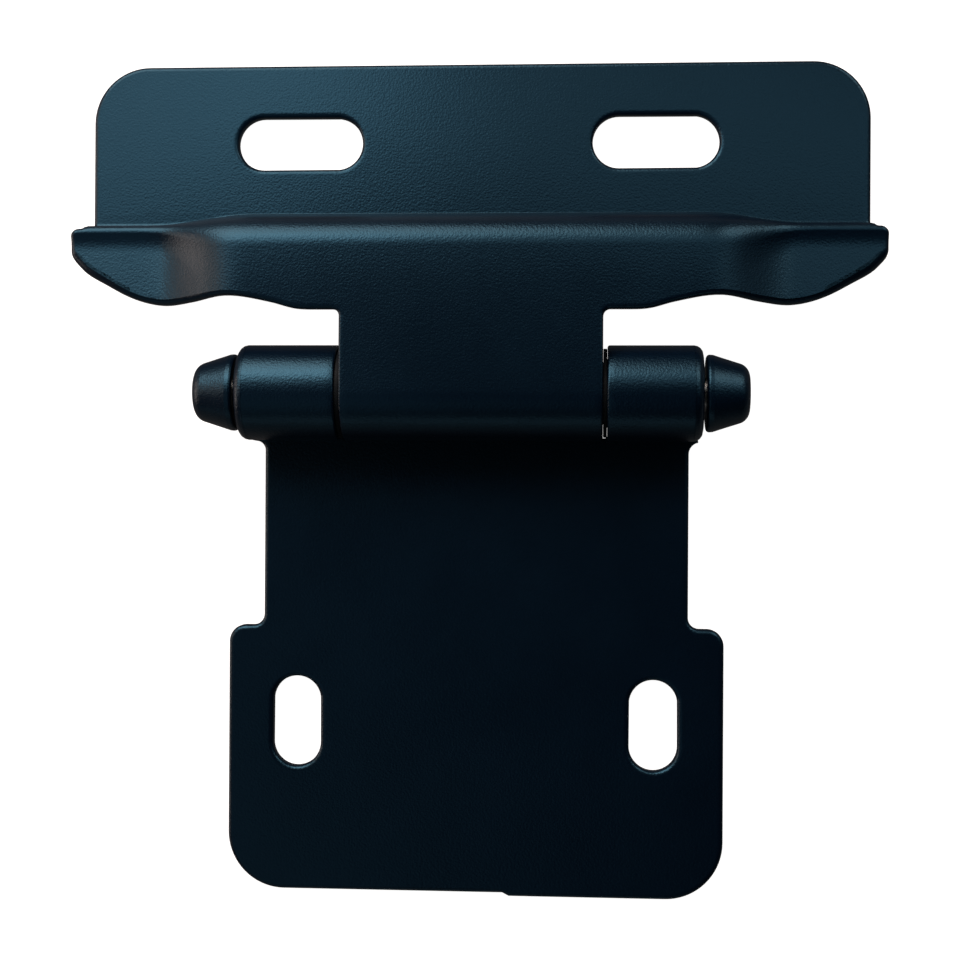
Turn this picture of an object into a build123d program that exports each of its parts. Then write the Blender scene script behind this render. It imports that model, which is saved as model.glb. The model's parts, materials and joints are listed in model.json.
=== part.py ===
# Self-closing cabinet hinge, lying on its mounting backs.
# X runs along the pin, Y from the frame leaf to the door leaf, Z away from the mounting plane.
# The origin is on the frame leaf's back, midway between its two screw slots.
import os
from math import cos, radians, sin
from build123d import *

# Sheet and barrel
sheet = 1.4                      # thickness of both leaves
barrel_r = 4.2                   # outer radius of the knuckles
edge_round = 0.3                 # rounding of the cut edges
bore_r = barrel_r - sheet
axis_z = barrel_r

# Frame leaf
frame_slot_drop = 29.45          # pin axis to the screw slots
neck_width = 38.1
shoulder_width = 3.175           # step from the neck to the wide plate
frame_length = 44.9              # pin axis to the lower edge
shoulder_drop = 20.83            # pin axis to the shoulders
shoulder_in_r = 1.0
shoulder_out_r = 1.5
frame_corner_r = 5.1
frame_slot_width = 4.3
frame_slot_length = 8.1
slot_pitch = 32.0
knuckle_over_left = 1.65         # side knuckles past the neck
knuckle_over_right = 1.05
knuckle_round = 0.8
knuckle_fillet = 0.85
frame_curl_end = 215.0           # degrees from +Y
notch_drop = 3.85                # pin axis to the bottom of the middle notch
jog = 0.3                        # shear step in the lower edge
jog_x = 2.9

# Door leaf
door_width = 69.85
door_length = 29.7               # pin axis to the upper edge
door_corner_r = 5.1
door_slot_rise = 22.65           # pin axis to the screw slots
door_slot_width = 4.7
door_slot_length = 11.3
ear_over = 1.075                 # ears past the plate's side
ear_top = 14.7
ear_front = 5.0                  # height of the ears' front face
ear_corner_r = 0.75
ear_inner_r = 0.2
tongue_root = 7.05               # pin axis to the tongue's root
root_r = 0.6
tongue_width = 22.8
tongue_front = axis_z + barrel_r
door_curl_end = 385.0            # degrees from +Y, one turn and a little more

# Step of the door leaf: at the ears and at the middle
# start: plate to crease; lean: wall angle; dip and face: angles at the two ends of the run after the ridge
step_ear = dict(start=15.5, lean=84.0, crease_r=0.4, ridge_r=0.6, dip=-20.0, face=6.0, run=1.5, front=ear_front)
step_mid = dict(start=16.6, lean=80.0, crease_r=1.0, ridge_r=2.0, dip=1.5, face=0.0, run=4.2, front=tongue_front)
back_ridge_r = 0.1               # least radius behind a ridge
mid_share = 0.32                 # the middle section covers this share of the tongue-to-ear span
ear_share = 0.745                # the ear section starts at this share of it
stations = 9                     # sections between them
plate_join = 18.0                # the flat plate starts here

# Pin, tips and bushes
pin_r = 1.6
tip_gap = 0.25                   # tip to side knuckle
tip_length = 3.8
tip_base_r = 3.42
tip_end_r = 2.35
tip_band = 0.6
tip_round = 1.2
tip_bore_depth = 2.8
leaf_gap_left = 0.45             # side knuckle to middle knuckle
leaf_gap_right = 0.38
bush_play = 0.15                 # bush flange to middle knuckle
bush_flange_r = 3.0
bush_reach = 3.5                 # into the middle knuckle
run_clear = 0.05

# Spring
wire_r = 0.35
coil_r = 2.2
coil_turns = 15.5
coil_length = 14.0
leg_reach = 5.2                  # leg in the middle knuckle's window, from the axis
leg_depth = 2.3                  # leg in the bush
leg_clear = 0.05

tongue_half = tongue_width / 2
ear_half = door_width / 2 + ear_over
ear_span = ear_half - tongue_half
notch_left = tongue_half + leaf_gap_left
notch_right = tongue_half + leaf_gap_right
knuckle_left = neck_width / 2 + knuckle_over_left
knuckle_right = neck_width / 2 + knuckle_over_right


def slot(width, length, x, y, turn):
    face = SlotOverall(length, width, rotation=turn)
    return Pos(x, y, -1) * extrude(face, sheet + 2)


def ring(start, end):
    # section of a rolled knuckle in the YZ plane, angles in degrees from +Y
    centre = (0, axis_z)
    outer = CenterArc(centre, barrel_r, start, end - start)
    inner = CenterArc(centre, bore_r, start, end - start)
    return make_face([outer, inner, Line(outer @ 0, inner @ 0), Line(outer @ 1, inner @ 1)])


def along_x(face, start, end):
    # a section drawn in (Y, Z), pulled along X
    return Pos(start, 0, 0) * extrude(Plane.YZ * face, end - start)


# Frame leaf: flat plate with neck and shoulders
half = neck_width / 2
wide = half + shoulder_width
outline = Polyline(
    (-knuckle_left, 0), (-knuckle_left, -barrel_r), (-half, -barrel_r), (-half, -shoulder_drop),
    (-wide, -shoulder_drop), (-wide, jog - frame_length), (jog_x - jog, jog - frame_length),
    (jog_x + jog, -frame_length), (wide, -frame_length), (wide, -shoulder_drop),
    (half, -shoulder_drop), (half, -barrel_r), (knuckle_right, -barrel_r), (knuckle_right, 0), close=True,
)
face = make_face(outline)


def corner(face, x, y):
    return face.vertices().sort_by_distance((x, y, 0))[:1]


for side in (-1, 1):
    face = fillet(corner(face, side * wide, -frame_length), frame_corner_r)
    face = fillet(corner(face, side * wide, -shoulder_drop), shoulder_out_r)
    face = fillet(corner(face, side * half, -shoulder_drop), shoulder_in_r)
    face = fillet(corner(face, side * half, -barrel_r), knuckle_fillet)
plate = extrude(face, sheet)
for side in (-1, 1):
    plate -= slot(frame_slot_width, frame_slot_length, side * slot_pitch / 2, -frame_slot_drop, 90)
notch_mid = (notch_right - notch_left) / 2
plate -= Pos(notch_mid, 0, sheet / 2) * Box(notch_left + notch_right, 2 * notch_drop, sheet + 2)
frame_edges = [
    e for e in plate.edges().filter_by(lambda e: abs(e.center().Z - sheet) < 1e-6 or abs(e.center().Z) < 1e-6)
    if e.bounding_box().max.Y < -notch_drop + 0.05 and e.bounding_box().max.Y < -barrel_r - 0.1
]
plate = fillet(frame_edges, edge_round)
frame_leaf = plate


def knuckle(inner, outer):
    tube = along_x(ring(-90, frame_curl_end), inner, outer)
    rim = [e for e in tube.edges().filter_by(GeomType.CIRCLE)
           if abs(e.radius - barrel_r) < 1e-6 and abs(e.center().X - outer) < 1e-6]
    return fillet(rim, knuckle_round)


frame_leaf += knuckle(notch_right, knuckle_right)
frame_leaf += mirror(knuckle(notch_left, knuckle_left), Plane.YZ)


# Door leaf: section through the step, drawn in (Y, Z)
def step_face(blend):
    at = {k: step_ear[k] + (step_mid[k] - step_ear[k]) * blend for k in step_ear}
    lean = radians(at["lean"])
    dip = radians(at["dip"])
    tilt = radians(at["face"])
    crease_r = at["crease_r"]
    ridge_r = at["ridge_r"]
    run = at["run"]

    def out(turn):
        return Vector(sin(turn), cos(turn))

    def down(turn):
        return Vector(-cos(turn), sin(turn))

    end_run = (down(dip) + down(tilt)) * (run / 2)
    rise = at["front"] - sheet - crease_r * (1 - cos(lean)) - ridge_r * (cos(dip) - cos(lean)) - end_run.Y
    crease = Vector(at["start"], sheet + crease_r)
    foot = crease - out(lean) * crease_r
    brow = foot + down(lean) * (rise / sin(lean))
    ridge = brow - out(lean) * ridge_r

    def bend(centre, r, start, end):
        middle = (start + end) / 2
        return ThreePointArc(centre + out(start) * r, centre + out(middle) * r, centre + out(end) * r)

    def side(depth):
        a = -(crease_r + depth)
        b = max(ridge_r - depth, back_ridge_r)
        apex = ridge + (out(lean) + out(dip)) * ((ridge_r - depth - b) / (1 + cos(lean - dip)))
        head = apex + out(dip) * b
        tail = ridge + out(dip) * ridge_r + end_run - out(tilt) * depth
        pull = (tail - head).length / 3
        last = tail + down(tilt) * (tail.X / cos(tilt))
        return [
            Line((plate_join, sheet - depth), crease + out(0) * a),
            bend(crease, a, 0, lean),
            Line(crease + out(lean) * a, apex + out(lean) * b),
            bend(apex, b, lean, dip),
            Bezier(head, head + down(dip) * pull, tail - down(tilt) * pull, tail),
            Line(tail, last),
        ]

    front = side(0)
    back = side(sheet)
    ends = [
        Line((plate_join, 0), (plate_join, sheet)),
        Line(front[-1] @ 1, back[-1] @ 1),
    ]
    return make_face(front + back + ends)


def ease(u):
    return u ** 3 * (u * (6 * u - 15) + 10)


mid_x = tongue_half + mid_share * ear_span
ear_x = tongue_half + ear_share * ear_span
mid = along_x(step_face(1), -mid_x, mid_x)
ear = along_x(step_face(0), ear_x, ear_half + 1)
turns = [i / (stations - 1) for i in range(stations)]
sections = [Pos(mid_x + (ear_x - mid_x) * u, 0, 0) * (Plane.YZ * step_face(1 - ease(u))) for u in turns]
blend = loft(sections)
form = mid + blend + ear + mirror(blend, Plane.YZ) + mirror(ear, Plane.YZ)
plate_run = door_length + 1 - plate_join
form += Pos(0, plate_join + plate_run / 2, sheet / 2) * Box(2 * ear_half + 2, plate_run, sheet)

# Door leaf: outline seen from the front, right half
w = ear_half
d = door_width / 2


def scallop(share, y):
    return (tongue_half + share * ear_span, y)


lower = Spline(
    (w, 12.6), scallop(0.9675, 11.3), scallop(0.8659, 9.55), scallop(0.7602, 8.2), scallop(0.6585, 7.65),
    scallop(0.5447, 7.85), scallop(0.4146, 8.3), scallop(0.248, 7.7), scallop(0.1545, 7.12),
    scallop(0.0854, tongue_root),
    tangents=((0, -1), (-1, 0)),
)
edges = [
    Line((0, door_length), (d, door_length)),
    Line((d, door_length), (d, ear_top)),
    Line((d, ear_top), (w, ear_top)),
    Line((w, ear_top), lower @ 0),
    lower,
    Line(lower @ 1, (tongue_half, tongue_root)),
    Line((tongue_half, tongue_root), (tongue_half, 0)),
    Line((tongue_half, 0), (0, 0)),
    Line((0, 0), (0, door_length)),
]
half_face = make_face(edges)
half_face = fillet(corner(half_face, d, door_length), door_corner_r)
half_face = fillet(corner(half_face, w, ear_top), ear_corner_r)
half_face = fillet(corner(half_face, d, ear_top), ear_inner_r)
half_face = fillet(corner(half_face, tongue_half, tongue_root), root_r)
outline = half_face + mirror(half_face, Plane.YZ)
prism = Pos(0, 0, -1) * extrude(outline, tongue_front + 3)
sheet_form = form & prism
for side in (-1, 1):
    sheet_form -= slot(door_slot_width, door_slot_length, side * slot_pitch / 2, door_slot_rise, 0)
slot_reach = door_slot_width / 2 + 0.1
slot_edges = [
    e for e in sheet_form.edges()
    if abs(e.center().Y - door_slot_rise) < slot_reach and abs((e % 0.5).Z) < 0.5
    and abs(abs(e.center().X) - slot_pitch / 2) < door_slot_length / 2 + 0.1
]
door_leaf = fillet(slot_edges, edge_round) + along_x(ring(90, door_curl_end), -tongue_half, tongue_half)


# Pin and its two tips, turned about X
def turned(face):
    return Pos(0, 0, axis_z) * revolve(face, Axis.X)


pin_left = knuckle_left + tip_gap + tip_bore_depth
pin_right = knuckle_right + tip_gap + tip_bore_depth
hinge_pin = Pos((pin_right - pin_left) / 2, 0, axis_z) * Rot(0, 90, 0) * chamfer(
    Cylinder(pin_r, pin_left + pin_right).edges().filter_by(GeomType.CIRCLE), 0.2
)


def tip(start):
    end = start + tip_length
    face = make_face(Polyline(
        (start, 0), (start, tip_base_r), (start + tip_band, tip_base_r - 0.05),
        (end, tip_end_r), (end, 0), close=True,
    ))
    face = fillet(corner(face, end, tip_end_r), tip_round)
    face = fillet(corner(face, start, tip_base_r), edge_round)
    bore = Pos(start + tip_bore_depth / 2, 0, axis_z) * Rot(0, 90, 0) * Cylinder(pin_r, tip_bore_depth)
    return turned(face) - bore


pin_tip_right = tip(knuckle_right + tip_gap)
pin_tip_left = mirror(tip(knuckle_left + tip_gap), Plane.YZ)

# Bushes: pressed in the side knuckles, flange in the gap, collar in the middle knuckle
flange_in = tongue_half + bush_play
collar_in = tongue_half - bush_reach
pin_bore_r = pin_r + 0.02


def bush(notch, knuckle_end):
    end = knuckle_end - 0.3
    return turned(make_face(Polyline(
        (collar_in, pin_bore_r), (collar_in, bore_r - run_clear), (flange_in, bore_r - run_clear),
        (flange_in, bush_flange_r), (notch, bush_flange_r), (notch, bore_r),
        (end, bore_r), (end, pin_bore_r), close=True,
    )))


bush_right = bush(notch_right, knuckle_right)
bush_left = mirror(bush(notch_left, knuckle_left), Plane.YZ)
leg_hole_r = wire_r + leg_clear
bush_left -= Pos(-collar_in - leg_depth / 2, 0, axis_z - coil_r) * Rot(0, 90, 0) * Cylinder(leg_hole_r, leg_depth)

# Torsion spring: coil, axial leg into the left bush, straight leg out of the middle knuckle's window
helix = Pos(-coil_length / 2, 0, axis_z) * Rot(0, 90, 0) * Helix(
    coil_length / coil_turns, coil_length, coil_r, lefthand=True
)
head = helix @ 1
path = Wire([helix, Line(head, head + (helix % 1) * (leg_reach - head.Y))])
section = Plane(origin=helix @ 0, z_dir=helix % 0) * Circle(wire_r)
coil = sweep(section, path=path, is_frenet=True)
tail = helix @ 0
leg_end = -collar_in - leg_depth + 0.1
leg_r = wire_r - 0.02
axial = Pos((tail.X + leg_end) / 2, tail.Y, tail.Z) * Rot(0, 90, 0) * Cylinder(leg_r, tail.X - leg_end)
closing_spring = coil + axial

# Origin on the frame leaf's back, between its slots
pieces = dict(
    frame_leaf=frame_leaf, door_leaf=door_leaf, hinge_pin=hinge_pin, pin_tip_left=pin_tip_left,
    pin_tip_right=pin_tip_right, bush_left=bush_left, bush_right=bush_right, closing_spring=closing_spring,
)
os.makedirs("parts", exist_ok=True)
for name, piece in pieces.items():
    export_step(Pos(0, frame_slot_drop, 0) * piece, f"parts/{name}.step")
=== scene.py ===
import json
import math

import bmesh
import bpy
from mathutils import Matrix, Vector

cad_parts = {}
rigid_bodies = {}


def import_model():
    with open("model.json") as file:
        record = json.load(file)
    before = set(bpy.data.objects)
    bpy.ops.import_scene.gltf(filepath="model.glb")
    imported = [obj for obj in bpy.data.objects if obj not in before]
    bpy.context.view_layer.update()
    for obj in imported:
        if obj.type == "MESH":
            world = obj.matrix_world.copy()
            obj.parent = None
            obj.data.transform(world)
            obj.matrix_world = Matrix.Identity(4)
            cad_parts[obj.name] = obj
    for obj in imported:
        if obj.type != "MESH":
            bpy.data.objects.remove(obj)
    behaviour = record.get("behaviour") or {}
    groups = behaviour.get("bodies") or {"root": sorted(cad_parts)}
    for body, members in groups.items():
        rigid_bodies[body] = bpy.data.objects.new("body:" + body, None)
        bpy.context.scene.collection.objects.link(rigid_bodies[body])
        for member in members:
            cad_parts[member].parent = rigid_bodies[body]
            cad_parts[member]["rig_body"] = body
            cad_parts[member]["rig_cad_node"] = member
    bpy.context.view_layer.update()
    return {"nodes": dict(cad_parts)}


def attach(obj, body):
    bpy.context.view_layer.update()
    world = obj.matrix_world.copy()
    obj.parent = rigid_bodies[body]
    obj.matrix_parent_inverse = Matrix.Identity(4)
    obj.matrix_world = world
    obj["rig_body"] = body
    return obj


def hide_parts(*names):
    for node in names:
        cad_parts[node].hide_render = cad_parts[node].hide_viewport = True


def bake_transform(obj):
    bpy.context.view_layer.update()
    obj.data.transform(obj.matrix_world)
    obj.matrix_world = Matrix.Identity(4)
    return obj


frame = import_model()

MM = 0.001
scene = bpy.context.scene
scene.view_settings.view_transform = "Standard"
nodes = frame["nodes"]

# Sizes in millimetres, as in the part; Y is measured from the pin axis
PIN_Y = 29.45
PIN_Z = 4.2
SHEET = 1.4
BARREL_R = 4.2
SLOT_PITCH = 32.0

TONGUE_HALF = 11.4
TONGUE_ROOT = 7.05
ROOT_R = 0.6
PLATE_HALF = 34.925
EAR_HALF = 36.0
EAR_TOP = 14.7
EAR_CORNER_R = 0.75
EAR_INNER_R = 0.2
DOOR_LENGTH = 29.7
DOOR_CORNER_R = 5.1
DOOR_CURL = 295.0
MID_SHARE = 0.32
EAR_SHARE = 0.745
# Sections of the step; the middle one has a rounder ridge and a sharper crease than the solid
STEP_EAR = dict(start=15.5, lean=84.0, crease=0.4, ridge=0.6, dip=-20.0, face=6.0, run=1.5, front=5.0)
STEP_MID = dict(start=16.35, lean=80.0, crease=0.1, ridge=3.0, dip=1.5, face=0.0, run=3.6, front=8.4)
BACK_RIDGE_R = 0.1
PLATE_JOIN = 18.0
STEP_END = 8.4
SCALLOP = (
    (1.0, 12.6), (0.9675, 11.3), (0.8659, 9.55), (0.7602, 8.2), (0.6585, 7.65),
    (0.5447, 7.85), (0.4146, 8.3), (0.248, 7.7), (0.1545, 7.12), (0.0854, TONGUE_ROOT),
)
DOOR_SLOTS = dict(rise=22.65, length=11.3, width=4.7, along="X")

NECK_HALF = 19.05
FRAME_HALF = 22.225
FRAME_LENGTH = 44.9
FRAME_CORNER_R = 5.1
SHOULDER = -20.83
SHOULDER_IN_R = 1.0
SHOULDER_OUT_R = 1.5
KNUCKLE_LEFT = 20.7
KNUCKLE_RIGHT = 20.1
KNUCKLE_FILLET = 0.85
NOTCH_LEFT = 11.85
NOTCH_RIGHT = 11.78
NOTCH_DROP = 3.85
FRAME_CURL = 305.0
JOG = 0.3
JOG_X = 2.9
FRAME_SLOTS = dict(rise=-29.45, length=8.1, width=4.3, along="Y")

# Finish of the sheets' cut edges, in millimetres and degrees; towards the ears the rim grows softer
CRISP_EDGE = 0.2
ROLLED_EDGE = 0.4
SOFT_EDGE = 0.8
SOFT_FROM = 20.0
SOFT_TO = 26.0
SOFT_TOP = 12.0
LOOKS_UP = 0.5
ROLL_SEGMENTS = 4
CUT_ANGLE = 50.0
SMOOTH_ANGLE = 40.0

# Mesh of the sheets: spacing of its edges, and the windows left in its rows for the slots
SLACK = 0.1
TOUCH = 0.01
LEAST_STRAIGHT = 0.5
CURL_STEPS = 72
SLOT_POINTS = 48
PLATE_PITCH = 1.6
FRAME_PITCH = 1.5
SIDE_PITCH = 1.2
UPPER_PITCH = 0.9
END_PITCH = 0.8
STEP_PITCH = 0.65
EAR_PITCH = 0.25
END_INSET = 0.75
STEP_SIDE_END = 28.0
DOOR_COLUMNS_END = 35.4
DOOR_ROWS_END = 29.0
FRAME_COLUMNS_END = 21.0
FRAME_ROWS_START = -44.2
RIM = 0.5
WINDOW_ENDS = 1.4
WINDOW_SIDES = 1.1
WINDOW_REACH = 3.2
ROW_CLEAR = 0.3

# Rings of the bushes' flanges, in the gaps beside the middle knuckle
RING_IN_R = 2.95
RING_R = 3.9
RING_FACE = 11.42
RING_CLEAR = 0.02
RING_BREAK = 0.05
RING_POINTS = 96


# Modelling helpers

def deselect():
    bpy.ops.object.select_all(action="DESELECT")


def make_active(piece):
    deselect()
    piece.select_set(True)
    bpy.context.view_layer.objects.active = piece


def edit(piece, kind):
    make_active(piece)
    bpy.ops.object.mode_set(mode="EDIT")
    bpy.ops.mesh.select_mode(type=kind)
    bpy.ops.mesh.select_all(action="DESELECT")


def done():
    bpy.ops.object.mode_set(mode="OBJECT")


def apply_all(piece):
    make_active(piece)
    for modifier in list(piece.modifiers):
        bpy.ops.object.modifier_apply(modifier=modifier.name)


def merged_copy(source, name):
    """A copy of a CAD node as one closed mesh of its own."""
    make_active(nodes[source])
    bpy.ops.object.duplicate()
    piece = bpy.context.active_object
    piece.name = name
    piece.data.name = name
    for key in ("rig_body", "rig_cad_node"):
        if key in piece:
            del piece[key]
    piece.parent = None
    bpy.ops.object.mode_set(mode="EDIT")
    bpy.ops.mesh.select_all(action="SELECT")
    bpy.ops.mesh.customdata_custom_splitnormals_clear()
    bpy.ops.mesh.remove_doubles(threshold=2e-6)
    done()
    return piece


def even_shading(piece):
    make_active(piece)
    bpy.ops.object.shade_smooth_by_angle(angle=math.radians(SMOOTH_ANGLE))
    smooth = piece.modifiers.new("even_normals", "WEIGHTED_NORMAL")
    smooth.keep_sharp = True
    smooth.weight = 80
    bpy.ops.object.modifier_apply(modifier=smooth.name)


def steps(start, end, pitch):
    count = max(1, round(abs(end - start) / pitch))
    return [start + (end - start) * i / count for i in range(count + 1)]


def arc(centre, radius, start, end, count):
    points = []
    for i in range(count + 1):
        turn = math.radians(start + (end - start) * i / count)
        points.append((centre[0] + radius * math.cos(turn), centre[1] + radius * math.sin(turn)))
    return points


def even_steps(line, count):
    """The same line with its points spread evenly along it."""
    walked = [0]
    for before, after in zip(line, line[1:]):
        walked.append(walked[-1] + (after - before).length)
    points = []
    for i in range(count):
        at = walked[-1] * i / count
        k = next(k for k, end in enumerate(walked[1:]) if at < end)
        points.append(line[k].lerp(line[k + 1], (at - walked[k]) / (walked[k + 1] - walked[k])))
    return points + line[-1:]


# Door leaf

def step_side(blend, depth):
    """One face of the pressed step as (y, z) points from the plate to the pin; depth is behind the front."""
    at = {k: STEP_EAR[k] + (STEP_MID[k] - STEP_EAR[k]) * blend for k in STEP_EAR}
    lean, dip, tilt = (math.radians(at[k]) for k in ("lean", "dip", "face"))

    def out(turn):
        return Vector((math.sin(turn), math.cos(turn)))

    def down(turn):
        return Vector((-math.cos(turn), math.sin(turn)))

    crease, ridge = at["crease"], at["ridge"]
    end_run = (down(dip) + down(tilt)) * (at["run"] / 2)
    rise = at["front"] - SHEET - crease * (1 - math.cos(lean)) - ridge * (math.cos(dip) - math.cos(lean))
    rise -= end_run.y
    low = Vector((at["start"], SHEET + crease))
    high = low - out(lean) * (crease + ridge) + down(lean) * (rise / math.sin(lean))
    tight = max(ridge - depth, BACK_RIDGE_R)
    apex = high + (out(lean) + out(dip)) * ((ridge - depth - tight) / (1 + math.cos(lean - dip)))
    head = apex + out(dip) * tight
    tail = high + out(dip) * ridge + end_run - out(tilt) * depth
    points = [Vector((PLATE_JOIN, SHEET - depth))]
    points += [low - out(lean * i / 12) * (crease + depth) for i in range(13)]
    points += [apex + out(lean + (dip - lean) * i / 20) * tight for i in range(21)]
    pull = (tail - head).length / 3
    a, b = head + down(dip) * pull, tail - down(tilt) * pull
    run = []
    for i in range(25):
        u = i / 24
        upper = head * (1 - u) ** 3 + a * (3 * u * (1 - u) ** 2)
        run.append(upper + b * (3 * u * u * (1 - u)) + tail * u ** 3)
    run += [Vector((y, tail.y + (tail.x - y) * math.tan(tilt))) for y in (STEP_END, 0)]
    return points + even_steps(run[:-1], 20)[1:] + run[-1:]


EAR_FRONT = step_side(0, 0)
UNROLLED = [PLATE_JOIN]
for before, after in zip(EAR_FRONT, EAR_FRONT[1:]):
    UNROLLED.append(UNROLLED[-1] - (after - before).length)
SIDES = {}


def unroll(y):
    """Place on the flat blank of a point at height y on the ear."""
    for i, (near, far) in enumerate(zip(EAR_FRONT, EAR_FRONT[1:])):
        if far.x <= y <= near.x:
            return UNROLLED[i] + (UNROLLED[i + 1] - UNROLLED[i]) * (near.x - y) / (near.x - far.x)
    return y


def pressed(x, flat, depth):
    """Where a point of the blank lands in the pressed leaf, as (y, z)."""
    if flat >= PLATE_JOIN:
        return flat, SHEET - depth
    share = (abs(x) - TONGUE_HALF) / (EAR_HALF - TONGUE_HALF)
    u = min(max((share - MID_SHARE) / (EAR_SHARE - MID_SHARE), 0), 1)
    key = (round(1 - u ** 3 * (u * (6 * u - 15) + 10), 5), depth)
    if key not in SIDES:
        SIDES[key] = step_side(*key)
    i = next((k for k, place in enumerate(UNROLLED[1:]) if flat >= place), len(UNROLLED) - 2)
    share = (UNROLLED[i] - flat) / (UNROLLED[i] - UNROLLED[i + 1])
    return tuple(SIDES[key][i].lerp(SIDES[key][i + 1], share))


def scallop_curve(count):
    """Smooth line through the scallop's points, from the ear to the tongue's root."""
    span = EAR_HALF - TONGUE_HALF
    knots = [Vector((TONGUE_HALF + s * span, y)) for s, y in SCALLOP]
    gaps = [(b - a).length for a, b in zip(knots, knots[1:])]
    slopes = [Vector((0, -1))]
    for i in range(1, len(knots) - 1):
        before = (knots[i] - knots[i - 1]) / gaps[i - 1]
        after = (knots[i + 1] - knots[i]) / gaps[i]
        slopes.append((before * gaps[i] + after * gaps[i - 1]) / (gaps[i] + gaps[i - 1]))
    slopes.append(Vector((-1, 0)))
    line = []
    for i, gap in enumerate(gaps):
        for k in range(count):
            u = k / count
            p = knots[i] * (1 + 2 * u) * (1 - u) ** 2 + slopes[i] * gap * u * (1 - u) ** 2
            p += knots[i + 1] * u * u * (3 - 2 * u) - slopes[i + 1] * gap * u * u * (1 - u)
            line.append((p.x, p.y))
    return line + [tuple(knots[-1])]


def door_outline():
    """Outline of the flat blank, from the middle of the upper edge round by the right."""
    right = [(x, DOOR_LENGTH) for x in steps(0, PLATE_HALF - DOOR_CORNER_R, PLATE_PITCH)[1:-1]]
    centre = (PLATE_HALF - DOOR_CORNER_R, DOOR_LENGTH - DOOR_CORNER_R)
    right += arc(centre, DOOR_CORNER_R, 90, 0, 18)
    right += [(PLATE_HALF, y) for y in steps(centre[1], PLATE_JOIN, UPPER_PITCH)[1:]]
    notch = EAR_TOP + EAR_INNER_R
    right += [(PLATE_HALF, flat) for flat in UNROLLED[1:] if flat > unroll(notch) + 0.03]
    below = arc((PLATE_HALF + EAR_INNER_R, notch), EAR_INNER_R, 180, 270, 4)
    corner = EAR_TOP - EAR_CORNER_R
    below += arc((EAR_HALF - EAR_CORNER_R, corner), EAR_CORNER_R, 90, 0, 6)
    below += [(EAR_HALF, y) for y in steps(corner, SCALLOP[0][1], EAR_PITCH)[1:-1]]
    below += scallop_curve(7)
    below += arc((TONGUE_HALF + ROOT_R, TONGUE_ROOT - ROOT_R), ROOT_R, 90, 180, 6)
    below += [(TONGUE_HALF, y) for y in steps(TONGUE_ROOT - ROOT_R, 0, END_PITCH)[1:]]
    below += [(x, 0) for x in steps(TONGUE_HALF - END_INSET, 0, PLATE_PITCH)[:-1]]
    right += [(x, unroll(y)) for x, y in below]
    left = [(-x, y) for x, y in reversed(right)]
    return [(0, DOOR_LENGTH)] + right + [(0, UNROLLED[-1])] + left


def frame_side(knuckle, notch):
    """One side of the frame leaf's outline, from the notch to the shoulder, for X above zero."""
    side = [(notch, y) for y in steps(-NOTCH_DROP, 0, END_PITCH)]
    side += [(x, 0) for x in steps(notch + END_INSET, knuckle - END_INSET, FRAME_PITCH)]
    side += [(knuckle, y) for y in steps(0, -BARREL_R, END_PITCH)]
    overhang = knuckle - NECK_HALF
    tight = overhang - KNUCKLE_FILLET < LEAST_STRAIGHT
    fillet = overhang if tight else KNUCKLE_FILLET
    side += arc((NECK_HALF + fillet, -BARREL_R - fillet), fillet, 90, 180, 8)[1 if tight else 0:]
    low = SHOULDER + SHOULDER_IN_R
    side += [(NECK_HALF, y) for y in steps(-BARREL_R - fillet, low, SIDE_PITCH)[1:-1]]
    side += arc((NECK_HALF + SHOULDER_IN_R, low), SHOULDER_IN_R, 180, 270, 8)
    out = (FRAME_HALF - SHOULDER_OUT_R, SHOULDER - SHOULDER_OUT_R)
    side += arc(out, SHOULDER_OUT_R, 90, 0, 10)
    return side


def frame_outline():
    """Outline of the frame leaf's flat blank, whose lower edge has a small step."""
    loop = []
    halves = ((1, KNUCKLE_RIGHT, NOTCH_RIGHT, 0), (-1, KNUCKLE_LEFT, NOTCH_LEFT, JOG))
    for side, knuckle, notch, low in halves:
        half = frame_side(knuckle, notch)
        corner = (FRAME_HALF - FRAME_CORNER_R, low - FRAME_LENGTH + FRAME_CORNER_R)
        half += [(FRAME_HALF, y) for y in steps(half[-1][1], corner[1], SIDE_PITCH)[1:-1]]
        half += arc(corner, FRAME_CORNER_R, 0, -90, 18)
        half += [(x, low - FRAME_LENGTH) for x in steps(corner[0], side * JOG_X + JOG, PLATE_PITCH)[1:]]
        half = [(side * x, y) for x, y in half]
        loop += half if side > 0 else half[::-1]
    across = steps(-NOTCH_LEFT, NOTCH_RIGHT, PLATE_PITCH)[1:-1]
    return loop + [(x, -NOTCH_DROP) for x in across]


def slot_loop(piece, side, slots, widen):
    """A slotted ring of edges, made from a circle pulled apart."""
    place = (side * SLOT_PITCH / 2 * MM, (PIN_Y + slots["rise"]) * MM, 0)
    bpy.ops.mesh.select_all(action="DESELECT")
    radius = (slots["width"] / 2 + widen) * MM
    bpy.ops.mesh.primitive_circle_add(vertices=SLOT_POINTS, radius=radius, location=place)
    half = (slots["length"] - slots["width"]) / 2 * MM
    axis = 0 if slots["along"] == "X" else 1
    grid = bmesh.from_edit_mesh(piece.data)
    for vert in grid.verts:
        if vert.select:
            vert.co[axis] += half if vert.co[axis] - place[axis] > 1e-7 else -half
    bmesh.update_edit_mesh(piece.data)


def slot_distance(point, side, slots):
    """How far a point is from a slot's wall."""
    across = [abs(point.x / MM - side * SLOT_PITCH / 2), abs(point.y / MM - PIN_Y - slots["rise"])]
    axis = 0 if slots["along"] == "X" else 1
    across[axis] = max(across[axis] - (slots["length"] - slots["width"]) / 2, 0)
    return math.hypot(*across) - slots["width"] / 2


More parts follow.
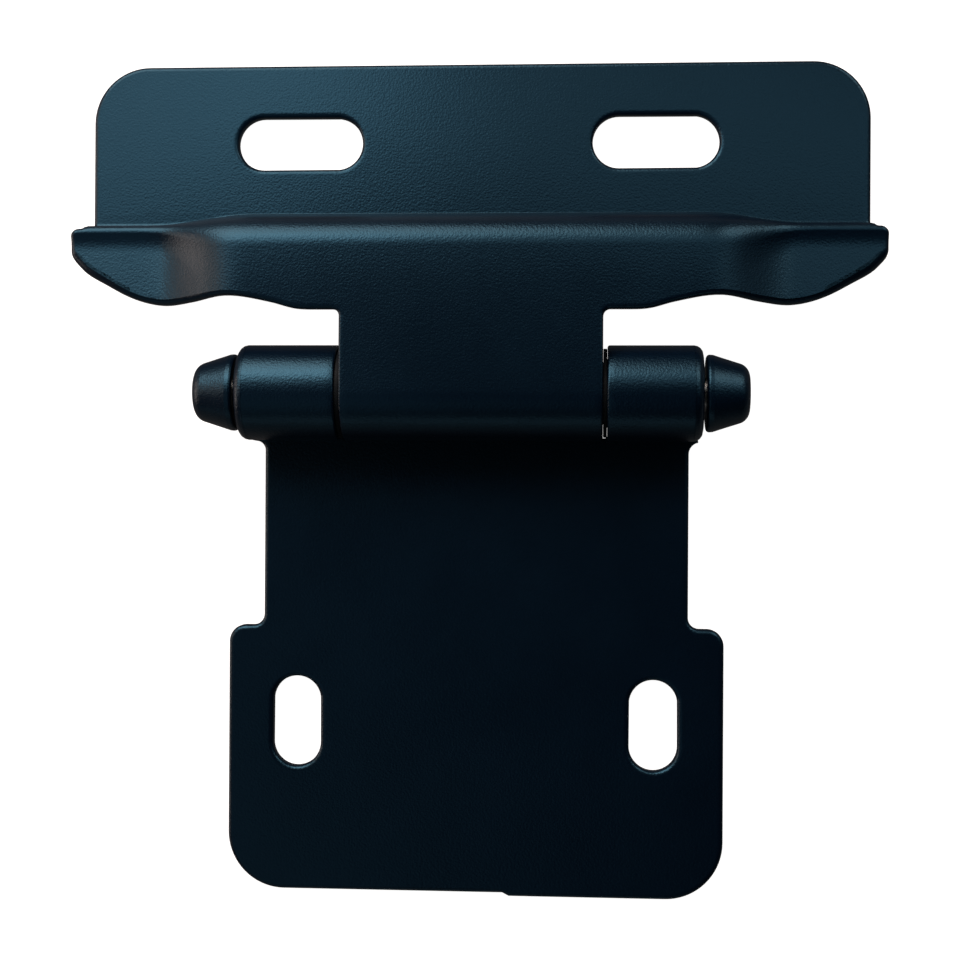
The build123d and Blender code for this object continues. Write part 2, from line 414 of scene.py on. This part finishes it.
def free_edges(piece, side, slots, near, far):
    """Select the open edges whose distance from the slot's wall lies between near and far."""
    grid = bmesh.from_edit_mesh(piece.data)
    for e in grid.edges:
        if len(e.link_faces) < 2:
            away = slot_distance((e.verts[0].co + e.verts[1].co) / 2, side, slots)
            if near < away < far:
                e.select_set(True)
    bmesh.update_edit_mesh(piece.data)


def slot_window(slots):
    """Half the width and height of the opening in the rows that a slot is set into."""
    wide, tall = slots["length"] / 2 + WINDOW_ENDS, slots["width"] / 2 + WINDOW_SIDES
    return (wide, tall) if slots["along"] == "X" else (tall, wide)


def window_rows(places, middle, reach):
    """Row places, with rows on a window's two sides in place of those that come near them."""
    sides = (middle - reach, middle + reach)
    return [p for p in places if all(abs(p - s) > ROW_CLEAR for s in sides)] + list(sides)


def flat_blank(name, outline, columns, rows, slots):
    """A flat blank: an even band along its outline, rows of edges inside it, and two slots."""
    mesh = bpy.data.meshes.new(name)
    corners = [(x * MM, (y + PIN_Y) * MM, 0) for x, y in outline]
    mesh.from_pydata(corners, [], [list(range(len(corners)))[::-1]])
    piece = bpy.data.objects.new(name, mesh)
    scene.collection.objects.link(piece)
    edit(piece, "FACE")
    bpy.ops.mesh.select_all(action="SELECT")
    bpy.ops.mesh.inset(thickness=RIM * MM, use_even_offset=True)
    bpy.ops.mesh.hide(unselected=True)
    reach_x, reach_y = slot_window(slots)
    columns = window_rows(columns, SLOT_PITCH / 2, reach_x)
    for x in sorted(set(columns) | {-x for x in columns}):
        bpy.ops.mesh.select_all(action="SELECT")
        bpy.ops.mesh.bisect(plane_co=(x * MM, 0, 0), plane_no=(1, 0, 0), threshold=1e-8)
    for y in sorted(window_rows(rows, slots["rise"], reach_y)):
        bpy.ops.mesh.select_all(action="SELECT")
        bpy.ops.mesh.bisect(plane_co=(0, (y + PIN_Y) * MM, 0), plane_no=(0, 1, 0), threshold=1e-8)
    bpy.ops.mesh.reveal(select=False)
    for side in (-1, 1):
        bpy.ops.mesh.select_mode(type="FACE")
        bpy.ops.mesh.select_all(action="DESELECT")
        grid = bmesh.from_edit_mesh(piece.data)
        for face in grid.faces:
            at = face.calc_center_median() / MM
            beside = abs(at.x - side * SLOT_PITCH / 2) < reach_x
            face.select_set(beside and abs(at.y - PIN_Y - slots["rise"]) < reach_y)
        bmesh.update_edit_mesh(piece.data)
        bpy.ops.mesh.delete(type="FACE")
        bpy.ops.mesh.select_mode(type="EDGE")
        slot_loop(piece, side, slots, 0)
        slot_loop(piece, side, slots, RIM)
        bpy.ops.mesh.select_all(action="DESELECT")
        free_edges(piece, side, slots, -SLACK, RIM + SLACK)
        bpy.ops.mesh.bridge_edge_loops()
        bpy.ops.mesh.select_all(action="DESELECT")
        free_edges(piece, side, slots, RIM - SLACK, WINDOW_REACH)
        bpy.ops.mesh.fill(use_beauty=True)
    return piece


def thicken():
    """Give the blank in hand its thickness, downwards."""
    bpy.ops.mesh.select_all(action="SELECT")
    bpy.ops.mesh.remove_doubles(threshold=1e-7)
    bpy.ops.mesh.extrude_region_move(TRANSFORM_OT_translate={"value": (0, 0, -SHEET * MM)})
    bpy.ops.mesh.select_all(action="SELECT")
    bpy.ops.mesh.normals_make_consistent(inside=False)


def roll_up(piece, left, right, turn):
    """Roll the sheet's straight end round the pin, between two X places."""
    bpy.ops.mesh.select_mode(type="FACE")
    bpy.ops.mesh.select_all(action="DESELECT")
    grid = bmesh.from_edit_mesh(piece.data)
    for face in grid.faces:
        level = all(abs(v.co.y / MM - PIN_Y) < TOUCH for v in face.verts)
        face.select_set(level and left < face.calc_center_median().x / MM < right)
    bmesh.update_edit_mesh(piece.data)
    pin = (0, PIN_Y * MM, PIN_Z * MM)
    bpy.ops.mesh.spin(steps=CURL_STEPS, angle=math.radians(turn), center=pin, axis=(-1, 0, 0))


def roll_edges(piece, radius):
    """Roll over the cut edges; radius tells how far at a place, given how far its faces look up."""
    bpy.ops.mesh.select_all(action="SELECT")
    bpy.ops.mesh.normals_make_consistent(inside=False)
    grid = bmesh.from_edit_mesh(piece.data)
    weight = grid.edges.layers.float.new("bevel_weight_edge")
    for e in grid.edges:
        if e.calc_face_angle(0) > math.radians(CUT_ANGLE):
            at = (e.verts[0].co + e.verts[1].co) / 2 / MM
            e[weight] = radius(at, max(face.normal.z for face in e.link_faces)) / SOFT_EDGE
    done()
    roll = piece.modifiers.new("rolled_edges", "BEVEL")
    roll.width = SOFT_EDGE * MM
    roll.segments = ROLL_SEGMENTS
    roll.limit_method = "WEIGHT"
    roll.use_clamp_overlap = False
    apply_all(piece)
    even_shading(piece)


def door_leaf_sheet():
    columns = steps(0, TONGUE_HALF - END_INSET, PLATE_PITCH)
    columns += steps(TONGUE_HALF, STEP_SIDE_END, STEP_PITCH)
    columns += steps(STEP_SIDE_END, DOOR_COLUMNS_END, SIDE_PITCH)[1:]
    rows = steps(UNROLLED[-1] + END_PITCH, UNROLLED[-2], END_PITCH) + UNROLLED[:-2]
    rows += steps(PLATE_JOIN, DOOR_ROWS_END, UPPER_PITCH)[1:]
    piece = flat_blank("door_leaf_sheet", door_outline(), columns, rows, DOOR_SLOTS)
    thicken()
    grid = bmesh.from_edit_mesh(piece.data)
    for vert in grid.verts:
        at = vert.co / MM
        y, z = pressed(at.x, at.y - PIN_Y, 0 if at.z > -SHEET / 2 else SHEET)
        vert.co.y, vert.co.z = (y + PIN_Y) * MM, z * MM
    bmesh.update_edit_mesh(piece.data)
    roll_up(piece, -TONGUE_HALF, TONGUE_HALF, DOOR_CURL)

    def radius(at, up):
        if abs(at.x) < TONGUE_HALF + SLACK and at.y - PIN_Y < TONGUE_ROOT - 1:
            return CRISP_EDGE
        if up < LOOKS_UP or at.y - PIN_Y > SOFT_TOP:
            return ROLLED_EDGE
        ear = min(max((abs(at.x) - SOFT_FROM) / (SOFT_TO - SOFT_FROM), 0), 1)
        return ROLLED_EDGE + (SOFT_EDGE - ROLLED_EDGE) * ear

    roll_edges(piece, radius)
    return piece


def frame_leaf_sheet():
    columns = steps(0, FRAME_COLUMNS_END, FRAME_PITCH)
    rows = steps(FRAME_ROWS_START, -END_PITCH, FRAME_PITCH)
    piece = flat_blank("frame_leaf_sheet", frame_outline(), columns, rows, FRAME_SLOTS)
    thicken()
    bpy.ops.transform.translate(value=(0, 0, SHEET * MM))
    roll_up(piece, -FRAME_HALF, 0, FRAME_CURL)
    roll_up(piece, 0, FRAME_HALF, FRAME_CURL)

    def radius(at, _):
        if -NOTCH_LEFT - SLACK < at.x < NOTCH_RIGHT + SLACK and at.y - PIN_Y > -NOTCH_DROP - 1:
            return CRISP_EDGE
        outside = math.hypot(at.y - PIN_Y, at.z - PIN_Z) > BARREL_R - SLACK
        end = min(abs(at.x - KNUCKLE_RIGHT), abs(at.x + KNUCKLE_LEFT)) < TOUCH
        return SOFT_EDGE if outside and end else ROLLED_EDGE

    roll_edges(piece, radius)
    return piece


# Bushes

def flange_ring(name, near, far):
    """The rim of a bush's flange, from one place along the pin to another."""
    deselect()
    middle = (near + far) / 2
    bpy.ops.mesh.primitive_cylinder_add(
        vertices=RING_POINTS, radius=RING_R * MM, depth=abs(far - near) * MM, end_fill_type="NOTHING",
        location=(middle * MM, PIN_Y * MM, PIN_Z * MM), rotation=(0, math.radians(90), 0))
    piece = bpy.context.active_object
    piece.name = name
    wall = piece.modifiers.new("wall", "SOLIDIFY")
    wall.thickness = (RING_R - RING_IN_R) * MM
    wall.offset = -1
    worn = piece.modifiers.new("broken_edges", "BEVEL")
    worn.width = RING_BREAK * MM
    worn.segments = 2
    worn.angle_limit = math.radians(CUT_ANGLE)
    apply_all(piece)
    bpy.ops.object.transform_apply()
    even_shading(piece)
    return piece


# Finishes: colours, ranges of roughness, and the scale and depth of the grain

PEBBLE_CELLS = 4700.0
PEBBLE_FINE = 6900
MOTTLE_SCALE = 90
MOTTLED = (0.3, 0.7)
GRAIN_DEPTH = 0.00002
SLIGHT_GRAIN = 0.2
COAT_DARK = (0.00002, 0.0008, 0.0033)
COAT_LIGHT = (0.00006, 0.0012, 0.0044)
COAT_TINT = (0.25, 0.69, 1.0, 1)
COAT_ROUGH = (0.28, 0.31)
COAT_GRAIN = 0.9
NYLON_DARK = (0.002, 0.003, 0.004)
NYLON_LIGHT = (0.004, 0.005, 0.006)
NYLON_ROUGH = (0.5, 0.62)
NYLON_SIZE = 1.6
NYLON_SHINE = 0.05
PAPER_DARK = (0.24, 0.24, 0.24)
PAPER_LIGHT = (0.26, 0.26, 0.26)
PAPER_IN_GLOSS = (0.02, 0.02, 0.02)


def group(name, inputs, outputs):
    tree = bpy.data.node_groups.new(name, "ShaderNodeTree")
    for label, kind, value in inputs:
        socket = tree.interface.new_socket(name=label, in_out="INPUT", socket_type=kind)
        if value is not None:
            socket.default_value = value
    for label, kind in outputs:
        tree.interface.new_socket(name=label, in_out="OUTPUT", socket_type=kind)
    return tree, tree.nodes.new("NodeGroupInput"), tree.nodes.new("NodeGroupOutput")


def node(tree, kind, **values):
    made = tree.nodes.new(kind)
    for key, value in values.items():
        if key in made.inputs:
            made.inputs[key].default_value = value
        else:
            setattr(made, key, value)
    return made


def noise(tree, place, scale, detail, rough=0.5):
    made = node(tree, "ShaderNodeTexNoise", Scale=scale, Detail=detail, Roughness=rough)
    tree.links.new(place, made.inputs["Vector"])
    return made.outputs["Fac"]


def spread(tree, value, low, high, to_low, to_high):
    made = node(tree, "ShaderNodeMapRange")
    for key, number in (("From Min", low), ("From Max", high), ("To Min", to_low), ("To Max", to_high)):
        made.inputs[key].default_value = number
    tree.links.new(value, made.inputs["Value"])
    return made.outputs["Result"]


def pebble_group():
    """Fine orange-peel pebbles of a sprayed and baked coat."""
    tree, start, end = group(
        "coat_pebble",
        [("Place", "NodeSocketVector", None), ("Size", "NodeSocketFloat", 1.0)],
        [("Height", "NodeSocketFloat"), ("Mottle", "NodeSocketFloat")],
    )
    scaled = node(tree, "ShaderNodeVectorMath", operation="SCALE")
    tree.links.new(start.outputs["Place"], scaled.inputs[0])
    tree.links.new(start.outputs["Size"], scaled.inputs["Scale"])
    place = scaled.outputs["Vector"]
    cells = node(tree, "ShaderNodeTexVoronoi", feature="F1", Scale=PEBBLE_CELLS)
    tree.links.new(place, cells.inputs["Vector"])
    fine = noise(tree, place, PEBBLE_FINE, 2)
    mix = node(tree, "ShaderNodeMath", operation="MULTIPLY_ADD")
    mix.inputs[1].default_value = 0.8
    tree.links.new(fine, mix.inputs[0])
    flip = spread(tree, cells.outputs["Distance"], 0.0, 0.9, 0.6, 0.0)
    tree.links.new(flip, mix.inputs[2])
    tree.links.new(mix.outputs["Value"], end.inputs["Height"])
    tree.links.new(noise(tree, place, MOTTLE_SCALE, 4, 0.6), end.inputs["Mottle"])
    return tree


PEBBLE = pebble_group()


def blank(name):
    material = bpy.data.materials.new(name)
    material.use_nodes = True
    tree = material.node_tree
    place = tree.nodes.new("ShaderNodeTexCoord").outputs["Object"]
    return material, tree, tree.nodes["Principled BSDF"], place


def use_group(tree, kind, place, **values):
    made = tree.nodes.new("ShaderNodeGroup")
    made.node_tree = kind
    tree.links.new(place, made.inputs["Place"])
    for key, value in values.items():
        made.inputs[key].default_value = value
    return made


def mix_colour(tree, factor, first, second):
    made = node(tree, "ShaderNodeMix", data_type="RGBA")
    tree.links.new(factor, made.inputs["Factor"])
    for socket, colour in ((made.inputs[6], first), (made.inputs[7], second)):
        if isinstance(colour, tuple):
            socket.default_value = (*colour, 1)
        else:
            tree.links.new(colour, socket)
    return made.outputs[2]


def bump(tree, shader, height, strength, distance):
    made = node(tree, "ShaderNodeBump", Strength=strength, Distance=distance)
    tree.links.new(height, made.inputs["Height"])
    tree.links.new(made.outputs["Normal"], shader.inputs["Normal"])


def black_coat(name, size):
    material, tree, shader, place = blank(name)
    pebble = use_group(tree, PEBBLE, place, Size=size)
    mottle = pebble.outputs["Mottle"]
    tone = mix_colour(tree, spread(tree, mottle, *MOTTLED, 0, 1), COAT_DARK, COAT_LIGHT)
    tree.links.new(tone, shader.inputs["Base Color"])
    tree.links.new(spread(tree, mottle, *MOTTLED, *COAT_ROUGH), shader.inputs["Roughness"])
    bump(tree, shader, pebble.outputs["Height"], COAT_GRAIN, GRAIN_DEPTH)
    shader.inputs["Specular Tint"].default_value = COAT_TINT
    return material


def drawn_steel(name, tone, grain, rough):
    material, tree, shader, place = blank(name)
    stretch = node(tree, "ShaderNodeMapping")
    stretch.inputs["Scale"].default_value = grain
    tree.links.new(place, stretch.inputs["Vector"])
    lines = noise(tree, stretch.outputs["Vector"], 1.0, 4, 0.6)
    darker = tuple(c * 0.7 for c in tone)
    drawn = mix_colour(tree, spread(tree, lines, *MOTTLED, 0, 1), darker, tone)
    tree.links.new(drawn, shader.inputs["Base Color"])
    tree.links.new(spread(tree, lines, *MOTTLED, rough - 0.06, rough + 0.08), shader.inputs["Roughness"])
    shader.inputs["Metallic"].default_value = 1.0
    bump(tree, shader, lines, SLIGHT_GRAIN, GRAIN_DEPTH)
    return material


def moulded_nylon(name):
    material, tree, shader, place = blank(name)
    pebble = use_group(tree, PEBBLE, place, Size=NYLON_SIZE)
    mottle = pebble.outputs["Mottle"]
    tree.links.new(mix_colour(tree, mottle, NYLON_DARK, NYLON_LIGHT), shader.inputs["Base Color"])
    tree.links.new(spread(tree, mottle, *MOTTLED, *NYLON_ROUGH), shader.inputs["Roughness"])
    bump(tree, shader, pebble.outputs["Height"], SLIGHT_GRAIN, GRAIN_DEPTH)
    shader.inputs["Specular IOR Level"].default_value = NYLON_SHINE
    return material


def dress(piece, material):
    piece.data.materials.clear()
    piece.data.materials.append(material)


COAT = black_coat("black_baked_coat", 1.0)
TIP_COAT = black_coat("black_tip_coat", 1.15)
PIN_STEEL = drawn_steel("turned_pin_steel", (0.46, 0.46, 0.45), (120, 5200, 5200), 0.3)
WIRE_STEEL = drawn_steel("spring_wire_steel", (0.36, 0.36, 0.37), (900, 2600, 2600), 0.34)
NYLON = moulded_nylon("black_bush_nylon")

door = door_leaf_sheet()
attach(door, "door")
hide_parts("door_leaf")
dress(door, COAT)
plate = frame_leaf_sheet()
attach(plate, "frame")
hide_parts("frame_leaf")
dress(plate, COAT)
for name in ("pin_tip_left", "pin_tip_right"):
    dress(nodes[name], TIP_COAT)
dress(nodes["hinge_pin"], PIN_STEEL)
for name in ("bush_left", "bush_right"):
    dress(nodes[name], NYLON)
for name, near, far in (
    ("bush_ring_left", -NOTCH_LEFT + RING_CLEAR, -RING_FACE),
    ("bush_ring_right", RING_FACE, NOTCH_RIGHT - RING_CLEAR),
):
    ring = flange_ring(name, near, far)
    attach(ring, "frame")
    dress(ring, NYLON)

coil = merged_copy("closing_spring", "closing_spring_wire")
even_shading(coil)
dress(coil, WIRE_STEEL)
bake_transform(coil)
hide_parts("closing_spring")


# Studio: places, aims and sizes of the lights in metres, powers in watts

PANELS = ((1.2, 0.45), (0.65, 0.55))
FLOOR_Z = -0.0002
GLOW_IN_GLOSS = 0.05
AMBIENT = 0.015


def softbox(name, where, aim, size, power, colour):
    """A panel of light whose edges fade, made of one panel inside another."""
    for part, (share, weight) in enumerate(PANELS):
        light = bpy.data.lights.new(f"{name}_{part}", "AREA")
        light.shape = "RECTANGLE"
        light.size, light.size_y = (side * share for side in size)
        light.energy = power * weight
        light.color = colour
        holder = bpy.data.objects.new(light.name, light)
        scene.collection.objects.link(holder)
        holder.visible_camera = False
        holder.location = where
        holder.rotation_euler = (Vector(aim) - Vector(where)).to_track_quat("-Z", "Y").to_euler()


MIDDLE = (0, 30 * MM, 4 * MM)
WHITE = (1.0, 1.0, 1.0)
PALE = (1.0, 0.84, 0.76)
WARM = (1.0, 0.52, 0.38)
softbox("key_softbox", (-0.14, 0.30, 0.20), MIDDLE, (0.26, 0.20), 2.2, PALE)
softbox("upper_panel_left", (-0.042, 0.067, 0.050), (-0.036, 0.053, 0), (0.050, 0.024), 0.021, WHITE)
softbox("upper_panel_right", (0.018, 0.064, 0.050), (0.016, 0.053, 0), (0.088, 0.024), 0.0165, WHITE)
softbox("lower_card", (-0.09, -0.09, 0.20), (-0.02, -0.01, 0), (0.12, 0.12), 0.030, WHITE)
softbox("warm_left_card", (-0.27, 0.09, 0.14), (-0.022, 0.04, 0.006), (0.11, 0.14), 0.32, WARM)
softbox("left_strip", (-0.34, 0.04, 0.045), MIDDLE, (0.24, 0.05), 0.6, WARM)
softbox("front_strip", (-0.06, -0.30, 0.10), MIDDLE, (0.40, 0.08), 0.12, WHITE)
softbox("right_card", (0.25, 0.10, 0.15), (0.022, 0.04, 0.006), (0.12, 0.12), 0.04, WHITE)
softbox("right_high_card", (0.20, 0.25, 0.16), MIDDLE, (0.12, 0.12), 0.5, PALE)

deselect()
bpy.ops.mesh.primitive_plane_add(size=4, location=(0, 0, FLOOR_Z))
floor = bpy.context.active_object
floor.name = "floor"
paper, tree, shader, place = blank("pale_paper")
fleck = noise(tree, place, 60, 3)
path = tree.nodes.new("ShaderNodeLightPath")
pale = mix_colour(tree, fleck, PAPER_DARK, PAPER_LIGHT)
dimmed = mix_colour(tree, path.outputs["Is Glossy Ray"], pale, PAPER_IN_GLOSS)
tree.links.new(dimmed, shader.inputs["Base Color"])
shader.inputs["Roughness"].default_value = 0.95
gloss = node(tree, "ShaderNodeMath", operation="MULTIPLY_ADD")
gloss.inputs[1].default_value = GLOW_IN_GLOSS
tree.links.new(path.outputs["Is Glossy Ray"], gloss.inputs[0])
tree.links.new(path.outputs["Is Camera Ray"], gloss.inputs[2])
glow = tree.nodes.new("ShaderNodeEmission")
tree.links.new(gloss.outputs["Value"], glow.inputs["Strength"])
both = tree.nodes.new("ShaderNodeAddShader")
tree.links.new(shader.outputs["BSDF"], both.inputs[0])
tree.links.new(glow.outputs["Emission"], both.inputs[1])
tree.links.new(both.outputs["Shader"], tree.nodes["Material Output"].inputs["Surface"])
dress(floor, paper)

world = bpy.data.worlds.new("studio")
scene.world = world
world.use_nodes = True
world.node_tree.nodes["Background"].inputs["Color"].default_value = (1, 1, 1, 1)
world.node_tree.nodes["Background"].inputs["Strength"].default_value = AMBIENT

# Camera as fitted to the photo: focal length in pixels, turns in degrees, distance in millimetres
FOCAL_PIXELS = 1803.7
PICTURE_PIXELS = 960
SENSOR = 36.0
CAMERA_TURNS = (3.98, -0.20, -0.33)
CAMERA_AIM = (0.35, PIN_Y - 7.64, 0)
CAMERA_AWAY = 163

camera_data = bpy.data.cameras.new("camera")
camera_data.sensor_width = SENSOR
camera_data.lens = FOCAL_PIXELS / PICTURE_PIXELS * SENSOR
camera_data.clip_start = 0.005
camera = bpy.data.objects.new("camera", camera_data)
scene.collection.objects.link(camera)
yaw, pitch, roll = (math.radians(v) for v in CAMERA_TURNS)
turn = Matrix.Rotation(roll, 3, "Z") @ Matrix.Rotation(pitch, 3, "X") @ Matrix.Rotation(-yaw, 3, "Y")
aim = Vector(CAMERA_AIM) * MM
back = turn.transposed()
camera.rotation_euler = back.to_euler()
camera.location = aim + back @ Vector((0, 0, CAMERA_AWAY * MM))
scene.camera = camera
